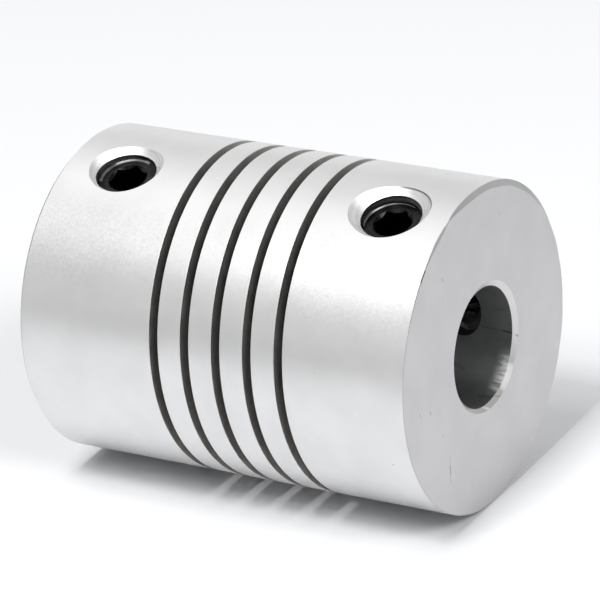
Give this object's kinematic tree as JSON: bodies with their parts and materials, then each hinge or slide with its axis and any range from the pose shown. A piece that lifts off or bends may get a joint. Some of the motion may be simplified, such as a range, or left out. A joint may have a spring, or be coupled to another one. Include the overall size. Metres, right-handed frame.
{
  "type": "flexible coupling",
  "caption": "Turned aluminium beam coupling that joins shafts of unlike size: a helical slit lets the middle flex, and set screws in each hub grip the shafts.",
  "frame": {"origin": "centre of the lower end face, on the shaft axis", "axes": "+Z along the shaft axis towards the end with the larger bore; one set screw of each hub points to -Y and the other to -X"},
  "size_m": [0.019, 0.019, 0.025],
  "materials": {
    "body_aluminium": "fine turned, satin, clear anodised",
    "screw_steel": "black oxide, lightly oiled"
  },
  "bodies": {
    "root": {"coupling_body": "body_aluminium", "top_front_set_screw": "screw_steel", "top_side_set_screw": "screw_steel", "bottom_front_set_screw": "screw_steel", "bottom_side_set_screw": "screw_steel"}
  },
  "joints": []
}
